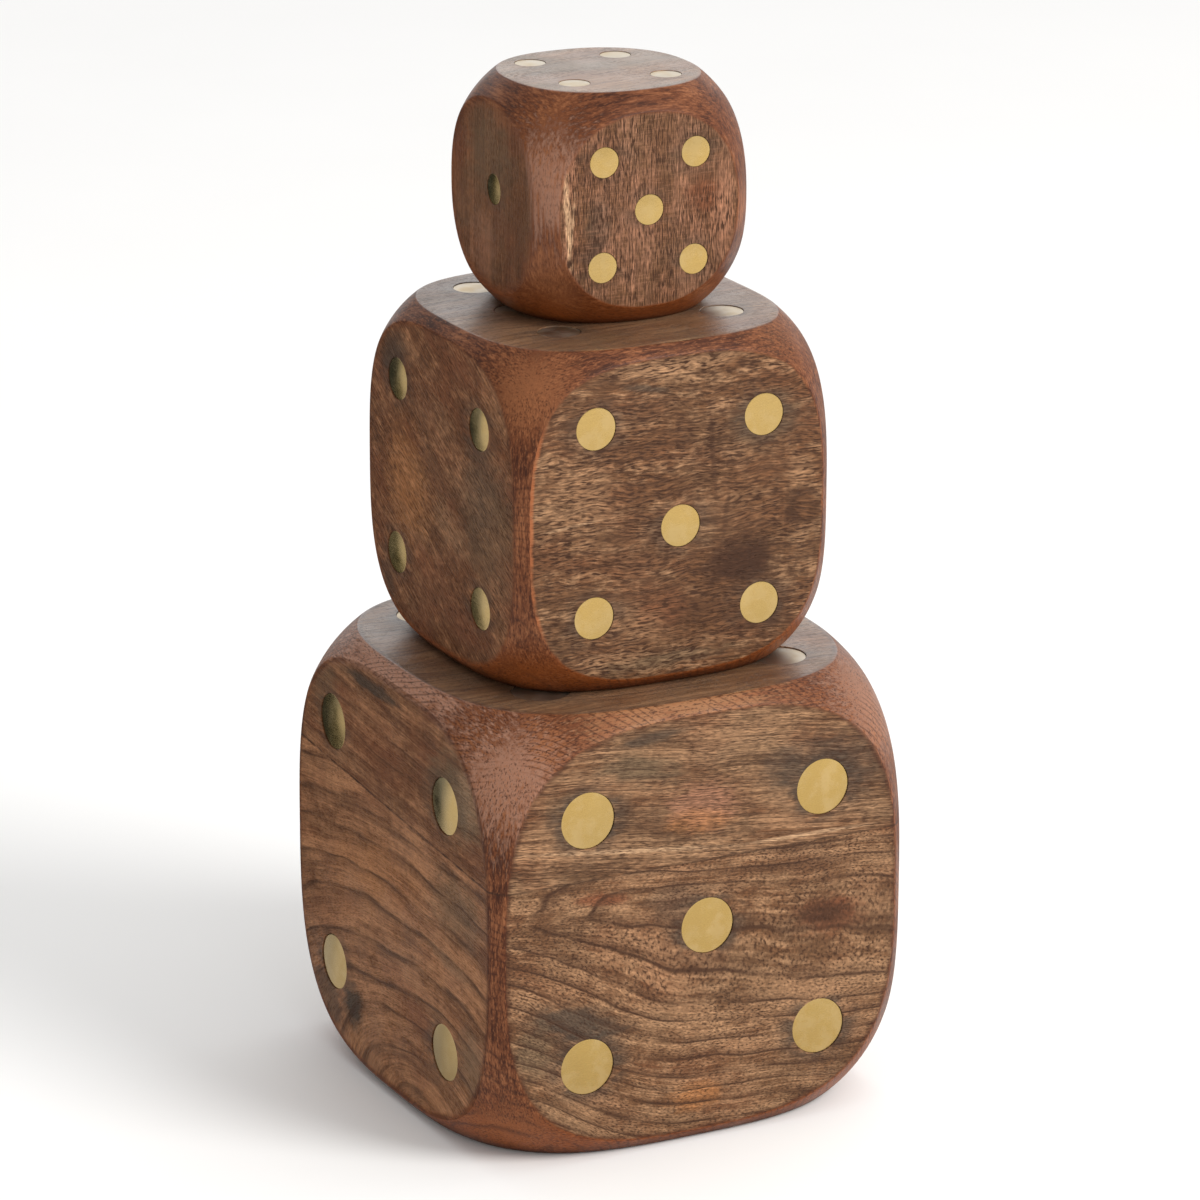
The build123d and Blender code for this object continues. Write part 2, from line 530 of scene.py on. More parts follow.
# A kind of noise in the wood: its length along the fibres and its width across them in mm
# (None where the figure says), the slice it is cut from, its detail and roughness, the
# axis the face's seed shifts it along, and the values between which it comes to show.
Noise = namedtuple("Noise", "length width slice detail roughness shifted low high", defaults=(0, 1))
NOISES = {
    "streak": Noise(None, None, 2.3, 4.0, 0.65, 1),
    "hair": Noise(4.0, 0.42, 7.9, 2.0, 0.6, 1),
    "thread": Noise(24.0, None, 3.3, 2.0, 0.55, 0, 0.5, 0.66),
    "broad": Noise(40.0, 7.0, 8.7, 3.0, 0.5, 0),
    "blotch": Noise(5.0, 3.5, 4.7, 4.0, 0.65, 0),
    "dash": Noise(None, None, 1.9, 1.0, 0.5, 0, 0.46, 0.34),
    "crowd": Noise(16.0, 9.0, 6.6, 3.0, 0.5, 1, 0.32, 0.6),
    "red": Noise(30.0, 16.0, 3.9, 3.0, 0.5, 1, 0.45, 0.7),
    "grey": Noise(30.0, 20.0, 5.5, 4.0, 0.5, 0, 0.42, 0.66),
    "ray": Noise(0.5, 7.0, 0.7, 2.0, 0.5, 1, 0.52, 0.66),
    "ring_patch": Noise(26.0, 5.0, 4.1, 3.0, 0.5, 0, 0.3, 0.58),
    "pore_crowd": Noise(20.0, 7.0, 6.6, 3.0, 0.5, 1, 0.3, 0.62),
    "smudge": Noise(9.0, 4.5, 1.2, 3.0, 0.5, 0, 0.36, 0.58),
}
# Rings: the size of their drift in mm, how far through a ring its dark line lies, where the
# soft rise to it starts and is full, and where it ends.
RING_DRIFT = (60.0, 9.0)
RING_LINE = 0.82
RING_RISE = (0.30, 0.80)
RING_END = (0.95, RING_LINE)
RING_CORE_SHARE = 0.55
RING_RISE_SHARE = 0.60
# Patches: the size of the lumps in their outline in mm, how ragged it is, and its fade.
SPOT_LUMPS = (7.0, 3.0)
SPOT_RAGGED = 1.1
SPOT_FADE = (1.15, 0.35)
# Stains round the pips: where they end and are full, in mm from the disc.
STAIN_FADE = (9.0, 0.5)
STAIN_SQUASH = 1.6
# Between which tones dark wood turns light, and how much each noise moves the tone and then
# the single fibres.
TONE_STEP = (0.22, 0.78)
BROAD_TONE = 1.3
STREAK_TONE = 1.1
MOTTLE_TONE = 2.0
STREAK_FIBRE = 1.3
HAIR_FIBRE = 1.5
LIGHT_DASH = 0.45  # how much lighter the wood between the dashes is
DASH_STEP = 0.13
SPARSE_DASHES = 0.45  # share of the dashes left where they are least crowded
# How deep each mark is, as a share of a pore.
DASH_DEPTH = 0.6
RING_DEPTH = 0.3
THREAD_DEPTH = 0.3
STREAK_DEPTH = 0.35


def figure(**changes):
    """A face's figure: the plain one with changes."""
    return {**PLAIN_FIGURE, **changes}


def drawn(shader, kind, seed, along, across, length=None, width=None):
    """One kind of noise, drawn out along the fibres."""
    noise = NOISES[kind]
    spot = [along / (length or noise.length), across / (width or noise.width), noise.slice]
    spot[noise.shifted] = spot[noise.shifted] + seed
    return shader.noise(spot, noise.detail, noise.roughness)


def showing(kind, field, least=0.0, most=1.0):
    """A kind of noise eased from where it starts to show to where it shows fully."""
    return field.ease(NOISES[kind].low, NOISES[kind].high, least, most)


def turned(u, v, degrees):
    """How far a point lies along and across a direction."""
    turn = radians(degrees)
    return u * cos(turn) + v * sin(turn), v * cos(turn) - u * sin(turn)


def soft_spot(shader, u, v, spot):
    """How strongly a soft ragged patch shows at a point."""
    centre_u, centre_v, half_length, half_height, tilt, _, strength = spot
    along, across = turned(u - centre_u, v - centre_v, tilt)
    along, across = along / half_length, across / half_height
    distance = (along * along + across * across) ** 0.5
    lump_u, lump_v = SPOT_LUMPS
    ragged = shader.noise((u / lump_u + centre_u, v / lump_v + centre_v, 0.0), 3.0)
    return (distance + (ragged - HALF) * SPOT_RAGGED).ease(*SPOT_FADE) * strength


def ring_distance(fig, along, across):
    """Millimetres from the pith: straight grain, or a cathedral round a sloping pith."""
    if fig["pith"] is None:
        return across
    pith_u, pith_v, slope_left, slope_right = fig["pith"]
    pith_along, pith_across = turned(pith_u, pith_v, fig["grain"])
    run = along - pith_along
    sink = run.least(0.0) * slope_left + run.most(0.0) * slope_right
    sideways = across - pith_across
    return (sink * sink + sideways * sideways) ** 0.5


def ring_lines(shader, fig, along, across, seed):
    """Dark lines of the growth rings: a soft rise, a thin core and a sharp end."""
    uneven = shader.noise((along / RING_DRIFT[0], across / RING_DRIFT[1], seed), 2.0)
    rings = across if fig["arched"] else ring_distance(fig, along, across)
    rings = rings / fig["ring_gap"]
    phase = (rings + (uneven - HALF) * fig["ring_unrest"]).part()
    core = (abs(phase - RING_LINE) * fig["ring_gap"]).ease(fig["ring_core"] * 1.6, 0.1)
    rise = phase.ease(*RING_RISE) * phase.ease(*RING_END)
    patchy = showing("ring_patch", drawn(shader, "ring_patch", seed, along, across), 0.25)
    line = core * RING_CORE_SHARE + rise * RING_RISE_SHARE
    return line * patchy * fig["rings"]


def pores(shader, fig, along, across, seed):
    """Short dark vessels along the grain, crowded in places."""
    cell = (along / fig["pore_length"] + seed, across / fig["pore_width"], 0.0)
    gap, own = shader.cells(cell)
    crowd = drawn(shader, "pore_crowd", seed, along, across)
    size = showing("pore_crowd", crowd, 0.26, 0.66)
    here = own.ease(1.0 - fig["pore_share"], 1.02 - fig["pore_share"])
    return (size - gap).ease(0.0, 0.30) * here


def pip_stain(shader, u, v, pips, seed):
    """A ragged stain in the wood round each pip."""
    edge = None
    for centre_u, centre_v, radius in pips:
        du, dv = u - centre_u / MM, v - centre_v / MM
        reach = (du * du + dv * dv * STAIN_SQUASH) ** 0.5 - radius / MM
        edge = reach if edge is None else edge.least(reach)
    return edge.ease(*STAIN_FADE) * showing("smudge", drawn(shader, "smudge", seed, u, v))


def fibre_lines(shader, u, v, fig, seed):
    """How far a point lies along the fibres and across them, in mm."""
    along, straight = turned(u, v, fig["grain"])
    if fig["fall"]:
        straight = straight + u.ease(*FALL_ALONG) * v.ease(*FALL_DOWN, 0.0, fig["fall"])
    if fig["arched"]:
        straight = ring_distance(fig, along, straight)
    bend = fig["sway_length"]
    slow = shader.noise((along / bend + seed, straight / (SWAY_HEIGHT * bend), seed), 2.0)
    quick = shader.noise((along / QUICK_LENGTH, straight / QUICK_WIDTH + seed, seed), 2.0)
    across = straight + (slow - HALF) * (SLOW_SWAY * fig["sway"])
    return along, across + (quick - HALF) * (QUICK_SWAY * fig["sway"])


def patches(shader, colour, u, v, pips, fig, seed):
    """The face's coloured patches and the stains round its pips, laid over a colour."""
    for spot in fig["spots"]:
        colour = shader.mix(soft_spot(shader, u, v, spot), colour, spot[5])
    if fig["halo"] and pips:
        stain = pip_stain(shader, u, v, pips, seed) * fig["halo"]
        colour = shader.mix(stain, colour, SLATE)
    return colour


def face_wood(shader, u, v, pips, fig):
    """Colour and depth of the pores of one flat face."""
    seed = fig["seed"] * SEED_STEP
    along, across = fibre_lines(shader, u, v, fig, seed)

    def fibres(kind, **sizes):
        return drawn(shader, kind, seed, along, across, **sizes)

    streak = fibres("streak", length=fig["streak_length"], width=fig["streak_width"])
    thread = showing("thread", fibres("thread", width=fig["thread_width"]))
    dash = fibres("dash", length=fig["dash_length"], width=fig["dash_width"])
    blotch = drawn(shader, "blotch", seed, u, v)

    tone = (fibres("broad") - HALF) * BROAD_TONE + (streak - HALF) * STREAK_TONE
    tone = tone + (blotch - HALF) * (MOTTLE_TONE * fig["mottle"])
    tone = tone * fig["swing"] + fig["balance"]
    redness = showing("red", fibres("red")) * fig["red"]
    greyness = showing("grey", drawn(shader, "grey", seed, u, v)) * fig["olive"]
    balance = (tone.ease(*TONE_STEP), fig["light"])
    colour = shader.lay(fig["dark"], balance, (redness, RED), (greyness, OLIVE))
    colour = patches(shader, colour, u, v, pips, fig, seed)

    fibre = (streak - HALF) * STREAK_FIBRE + (fibres("hair") - HALF) * HAIR_FIBRE
    fibre = fibre * fig["streaks"] + 1.0
    fibre = fibre + showing("dash", dash) * (LIGHT_DASH * fig["dashes"])
    colour = shader.mix(1.0, colour, shader.vector(fibre, fibre, fibre), "MULTIPLY")
    if fig["ray_fleck"]:
        colour = shader.mix(showing("ray", fibres("ray")) * fig["ray_fleck"], colour, PINK)

    line = ring_lines(shader, fig, along, across, seed)
    pore = pores(shader, fig, along, across, seed)
    crowd = showing("crowd", fibres("crowd"), SPARSE_DASHES)
    level = fig["dash_level"]
    dark_dash = dash.ease(level, level + DASH_STEP) * crowd.most(line)
    colour = shader.lay(colour, (thread * fig["threads"], UMBER), (line, UMBER))
    colour = shader.lay(colour, (dark_dash * fig["dashes"], UMBER), (pore * fig["pores"], DARK))
    depth = pore + dark_dash * DASH_DEPTH + line * RING_DEPTH + thread * THREAD_DEPTH
    return colour, depth + (HALF - streak) * STREAK_DEPTH


# ---- the rounding's wood
BAND_RED = (0.130, 0.040, 0.015, 1)
BAND_LIGHT = (0.290, 0.110, 0.045, 1)
BAND_DARK = (0.045, 0.013, 0.006, 1)
# Painted warm bounce light for the underside of the rounding.
BAND_PAINTED_BOUNCE = (0.250, 0.062, 0.010, 1)
BAND_PINK = (0.420, 0.220, 0.145, 1)
BAND_TAN = (0.400, 0.190, 0.085, 1)
CREASE_GLINT = (0.420, 0.130, 0.045, 1)
# Per die: the seed, and the strength of the ring lines and of the flecks.
BAND_SEED = {"large": 15.5, "middle": 18.6, "small": 21.7}
BAND_LINES = {"large": 0.6, "middle": 0.4, "small": 0.12}
BAND_FLECKS = {"large": 1.0, "middle": 0.9, "small": 0.55}
# Length along the edge and width across it, in mm, and the sizes of the clouds.
BAND_STREAK = (12.0, 1.1)
BAND_FLECK = (1.9, 0.5)
BAND_CLOUD = 20.0
BAND_DRIFT = 40.0
# Where the flecks start to show and are full, and their strength, for light and dark ones.
LIGHT_FLECKS = (0.53, 0.66, 0.60)
DARK_FLECKS = (0.48, 0.37, 0.75)
# The growth rings cut the rounding in tilted sheets this far apart, in mm.
SHEET_TILT = (0.55, 0.4, 0.6)
SHEET_GAP = 2.0
SHEET_WANDER = 8.0
# Between which heights the painted warm bounce light on the die's underside and the painted
# shade at its foot set in, in half edges above its centre, and how strong they are.
PAINTED_BOUNCE_REACH = (-0.55, -0.95)
PAINTED_BOUNCE = 0.75
PAINTED_FOOT_SHADE_REACH = (-0.92, -1.0)
PAINTED_FOOT_SHADE = 0.7
# Over how many mm on each side the grain of one edge gives way to the next edge's.
EDGE_BLEND = 9.0
LEAST_SHARE = 0.001
# Patches on the rounding: centre from the die's middle and reach, in mm, colour, strength.
# The pink and pale ones high on the corners and edges are partly lighter wood, partly painted
# highlight.
BAND_PATCHES_AND_HIGHLIGHTS = {
    "large": (
        ((-66, -66, 56), 26, BAND_PINK, 0.65),
        ((-6, -62, 70), 46, BAND_TAN, 0.7),
        ((64, -64, 62), 30, BAND_PINK, 0.50),
        ((-68, 4, 68), 62, BAND_PINK, 0.9),
        ((-62, -64, -66), 20, BAND_TAN, 0.3),
    ),
    "middle": (
        ((-50, -50, 46), 18, BAND_LIGHT, 0.6),
        ((36, -46, 50), 16, BAND_TAN, 0.12),
        ((6, -49, 51), 30, BAND_DARK, 0.4),
    ),
    "small": (((-29, -29, 10), 24, BAND_PINK, 0.60), ((-28, -28, -18), 12, BAND_LIGHT, 0.5)),
}
# Painted shade in the large die's crease, a painted glint down the left of the middle one's
# front, where "side" is in shares of the face's half width, and a little red on the small one.
CREASE_SHADE_AND_GLINT = {
    "large": {"colour": BAND_DARK, "strength": 0.55},
    "middle": {"colour": CREASE_GLINT, "strength": 0.6, "face": "front", "side": (-0.85, -0.97)},
    "small": {"colour": RED, "strength": 0.3},
}
# In shares of the face's reach: where the rim sets in, where it ends, and the face's end.
RIM_INSIDE = (0.970, 0.990)
RIM_OUTSIDE = (1.012, 0.996)
FACE_END = 1.006


def along_edges(graph, spot, sizes, seed):
    """Noise drawn out along whichever edge of the die the point is near."""
    along, across = sizes
    size = [abs(part) for part in spot]
    total = weight = None
    for axis in range(3):
        stretch = [across] * 3
        stretch[axis] = along
        others = [size[k] for k in range(3) if k != axis]
        nearness = others[0].least(others[1]) - size[axis]
        share = nearness.ease(-EDGE_BLEND, EDGE_BLEND, LEAST_SHARE, 1.0)
        drawn_out = [part / width + seed for part, width in zip(spot, stretch)]
        part = graph.noise(drawn_out, 3.0, 0.6) * share
        total = part if total is None else total + part
        weight = share if weight is None else weight + share
    return total / weight


def band_wood(graph, die, half):
    """Colour and height of the rounding, whose fibres run along each edge."""
    seed = BAND_SEED[die]
    x, y, z = spot = graph.place()
    streak = along_edges(graph, spot, BAND_STREAK, seed)
    fleck = along_edges(graph, spot, BAND_FLECK, seed + 3.1)
    cloud = graph.clouds(spot, BAND_CLOUD, 4.0, seed)
    drift = graph.clouds(spot, BAND_DRIFT, 1.0, seed)
    sheet = (x * SHEET_TILT[0] + y * SHEET_TILT[1] + z * SHEET_TILT[2]) / SHEET_GAP
    sheet = sheet + drift * SHEET_WANDER
    line = abs(sheet.part() - HALF).ease(0.22, 0.0) * cloud.ease(0.38, 0.55)
    tone = streak * 1.2 + cloud * 0.8 - 0.50
    reds = (tone.ease(0.22, 0.52), BAND_RED), (tone.ease(0.46, 0.78) * 0.8, BAND_LIGHT)
    colour = graph.lay(BAND_DARK, *reds)
    # Patches, the pale ones high up partly painted highlight.
    for centre, reach, patch_colour, strength in BAND_PATCHES_AND_HIGHLIGHTS[die]:
        gaps = [part - at for part, at in zip(spot, centre)]
        gap = (gaps[0] * gaps[0] + gaps[1] * gaps[1] + gaps[2] * gaps[2]) ** 0.5
        patch = (gap / reach + (streak - HALF) * 2.2).ease(1.0, 0.2) * strength
        colour = graph.mix(patch, colour, patch_colour)
    height = z / (half / MM)
    light_low, light_high, light_share = LIGHT_FLECKS
    dark_low, dark_high, dark_share = DARK_FLECKS
    flecks = BAND_FLECKS[die]
    # Painted bounce light low on the rounding and painted shade at its foot, then lines and flecks.
    colour = graph.lay(
        colour,
        (height.ease(*PAINTED_BOUNCE_REACH) * PAINTED_BOUNCE, BAND_PAINTED_BOUNCE),
        (height.ease(*PAINTED_FOOT_SHADE_REACH) * PAINTED_FOOT_SHADE, BAND_DARK),
        (line * BAND_LINES[die], BAND_DARK),
        (fleck.ease(light_low, light_high) * (light_share * flecks), BAND_LIGHT),
        (fleck.ease(dark_low, dark_high) * (dark_share * flecks), BAND_DARK),
    )
    return colour, (streak - HALF) * 0.3 + (HALF - fleck) * 0.8


def band_group(die, half):
    """The rounding's wood as a group of nodes, shared by all the die's materials."""
    tree = bpy.data.node_groups.new(f"{die}_band", "ShaderNodeTree")
    tree.interface.new_socket("Colour", in_out="OUTPUT", socket_type="NodeSocketColor")
    tree.interface.new_socket("Relief", in_out="OUTPUT", socket_type="NodeSocketFloat")
    graph = Graph(tree)
    colour, relief = band_wood(graph, die, half)
    graph.node("NodeGroupOutput", {"Colour": colour, "Relief": relief})
    return tree


def use_band(shader, band):
    """The colour and height that the shared group gives."""
    outputs = shader.node("ShaderNodeGroup", node_tree=band).outputs
    return outputs["Colour"], Field(shader, outputs["Relief"])


# ---- wood materials
GLUE_FADE = (0.65, 0.1)  # where the glue line ends and where it is full, in mm from its middle


def glue_line(shader, x, y, z, joint):
    """How strongly the joint of a glued block shows: a thin broken line."""
    middle, slope = joint
    gap = abs(z - y * slope - middle / MM)
    broken = shader.noise((y / 9.0, z / 9.0, 3.7), 3.0).ease(0.30, 0.55, 0.45, 0.95)
    worn = shader.noise((x / 7.0, y / 7.0, z / 2.0), 3.0).ease(0.35, 0.6, 0.3, 1.0)
    return gap.ease(*GLUE_FADE) * broken * worn


def wood_shader(shader, where, place, colour, relief, joint):
    """Finishes the wood of a face or the rounding: its glue line, varnish and pores."""
    if joint:
        colour = shader.mix(glue_line(shader, *place, joint), colour, DARK)
    cloud = shader.clouds(place, VARNISH_CLOUD, 3.0)
    roughness = cloud.ease(0.3, 0.7, *SATIN) + relief.ease(0.2, 1.0, 0.0, PORE_ROUGHNESS)
    varnish = {
        "Coat Weight": COAT.get(where, PLAIN_COAT),
        "Coat Roughness": COAT_ROUGHNESS,
        "IOR": VARNISH_IOR,
        "Specular IOR Level": GLOSS.get(where, PLAIN_GLOSS),
    }
    return shader.finish(colour, roughness, 0.0 - relief, PORE_DEPTH, **varnish)


def crease_shade_and_glint(die, face, reach, side, ragged):
    """How strongly the crease's painted shade, or glint on the middle die, shows; None on faces
    without.
    """
    rim = CREASE_SHADE_AND_GLINT[die]
    if rim.get("face", face) != face:
        return None
    strength = reach.ease(*RIM_INSIDE) * reach.ease(*RIM_OUTSIDE) * rim["strength"]
    if "side" in rim:
        strength = strength * side.ease(*rim["side"])
    return strength * ragged.ease(0.35, 0.60, 0.3, 1.0)


def face_material(die, node, face, half, pips, fig, joint, band):
    """The wood of one face, which gives way to the rounding's wood at its crease."""
    shader = Shader(f"{node}_{face}")
    x, y, z = shader.place()
    right, up, _ = face_axes(face)
    u = x * right.x + y * right.y + z * right.z
    v = x * up.x + y * up.y + z * up.z
    colour, relief = face_wood(shader, u, v, pips, fig)
    band_colour, band_relief = use_band(shader, band)
    shape = DICE[die]
    power = shape["power"]
    outline = (shape["reach"] ** power - 1) ** (1 / power) * half / MM
    reach = (abs(u) ** power + abs(v) ** power) ** (1 / power) / outline
    ragged = shader.noise((u / 6.0, v / 6.0, 9.1), 3.0)
    reach = reach + (ragged - HALF) * fig["ragged"]
    inside = reach.ease(FACE_END, FACE_END - fig["fade"])
    colour = shader.mix(inside, band_colour, colour)
    # Painted shade along the crease; a painted glint on the middle die's front.
    rim = crease_shade_and_glint(die, face, reach, u / outline, ragged)
    if rim:
        colour = shader.mix(rim, colour, CREASE_SHADE_AND_GLINT[die]["colour"])
    relief = relief * inside + band_relief * (1.0 - inside)
    return wood_shader(shader, face, (x, y, z), colour, relief, joint)


def rounding_material(node, joint, band):
    """The wood of a die's rounded edges and corners."""
    shader = Shader(f"{node}_rounding")
    colour, relief = use_band(shader, band)
    return wood_shader(shader, "rounding", shader.place(), colour, relief, joint)


# ---- brass
BRASS = (0.470, 0.315, 0.105, 1)
BRASS_PALE = (0.525, 0.370, 0.155, 1)
BRASS_DULL = (0.330, 0.205, 0.070, 1)
# Partly wear, partly a painted pale reflection of the bright studio above the top discs.
BRASS_WEAR_AND_SHEEN = (0.570, 0.530, 0.470, 1)
BRASS_OLD = (0.430, 0.310, 0.130, 1)
# Painted dark reflection for the discs of the left face, which turns away from the light.
PAINTED_DARK_REFLECTION = (0.065, 0.060, 0.028, 1)
BRASS_SEED = {"large": 0.0, "middle": 5.0, "small": 9.0}
# For each look: the colour of its patches (dull, painted dark reflection, or pale wear and
# painted sheen), their strength, and how rough the metal is.
BRASS_FINISH_AND_LIGHT = {
    "satin": (BRASS_DULL, 0.25, 0.22),
    "painted_dark": (PAINTED_DARK_REFLECTION, 0.75, 0.13),
    # Worn, on the top discs: wear and a painted pale sheen.
    "worn": (BRASS_WEAR_AND_SHEEN, 0.80, 0.36),
}
# Sizes in mm of the clouds, grains, scratches (along and across), castings and patches.
BRASS_CLOUD = 6.0
BRASS_GRAIN = 0.8
BRASS_SCRATCH = (5.0, 0.25)
BRASS_CASTING = 28.0
BRASS_PATCH = (8.0, 22.0)
BRASS_RELIEF = 0.002 * MM


def brass_material(die, finish, painted_dark_pips=()):
    """Brass sanded flush: cloudy, finely scratched, patched with painted dark, or wear and painted
    sheen.
    """
    patch_colour, patch_share, rough = BRASS_FINISH_AND_LIGHT[finish]
    seed = BRASS_SEED[die]
    shader = Shader(f"brass_{finish}_{die}")
    x, y, z = shader.place()

    def noise(size, height, detail, roughness=0.5):
        return shader.noise((x / size + seed, y / size, z / height), detail, roughness)

    cloud = noise(BRASS_CLOUD, BRASS_CLOUD, 4.0, 0.6)
    grains = noise(BRASS_GRAIN, BRASS_GRAIN, 3.0, 0.6)
    scratch = noise(*BRASS_SCRATCH, 2.0)
    casting = noise(BRASS_CASTING, BRASS_CASTING, 1.0)
    old = (casting.ease(0.35, 0.65) * 0.4, BRASS_OLD)
    dull = (grains.ease(0.55, 0.8) * 0.25, BRASS_DULL)
    colour = shader.lay(BRASS, (cloud.ease(0.40, 0.66), BRASS_PALE), old, dull)
    patch = noise(*BRASS_PATCH, 2.0).ease(0.75, 0.35, 0.5, 1.0) * patch_share
    # On the left face the painted dark reflection lies on one side of each disc.
    if painted_dark_pips:
        patch = patch * painted_dark_side(y, z, painted_dark_pips)
    colour = shader.mix(patch, colour, patch_colour)
    roughness = cloud.ease(0.3, 0.7, rough, rough + 0.08) + scratch.ease(0.4, 0.7) * 0.06
    height = scratch + grains * 0.5
    return shader.finish(colour, roughness, height, BRASS_RELIEF, 1.0)


def painted_dark_side(y, z, pips):
    """Painted dark reflection on the left face, strongest at the upper rear of each disc."""
    side = None
    for centre_u, centre_v, radius in pips:
        du = (0.0 - y - centre_u / MM) / (radius / MM)
        dv = (z - centre_v / MM) / (radius / MM)
        here = (du * du + dv * dv).ease(1.4, 1.2) * (dv * 0.4 - du).ease(-0.5, 0.6, 0.05, 1.0)
        side = here if side is None else side.most(here)
    return side * z.ease(-20.0, 12.0, 0.45, 1.0)


# ---- figures of each face
# What the left faces share, what the tops share, and the upright grain of the small die.
SIDE = {"sway": 0.6, "swing": 0.55, "mottle": 0.6, "streaks": 0.35, "threads": 0.15, "dashes": 0.3}
SIDE.update({"pores": 0.15, "fade": 0.05, "light": WARM_TAN, "dark": WARM_BROWN})
TOP = {"swing": 0.5, "mottle": 0.2, "streaks": 0.3, "threads": 0.2, "dashes": 0.3, "pores": 0.3}
UPRIGHT = {"swing": 0.6, "balance": 0.42, "light": PINK, "threads": 0.45, "thread_width": 0.40}
UPRIGHT.update({"streak_length": 7.0, "streak_width": 0.5, "dash_length": 3.4, "dash_width": 0.45})

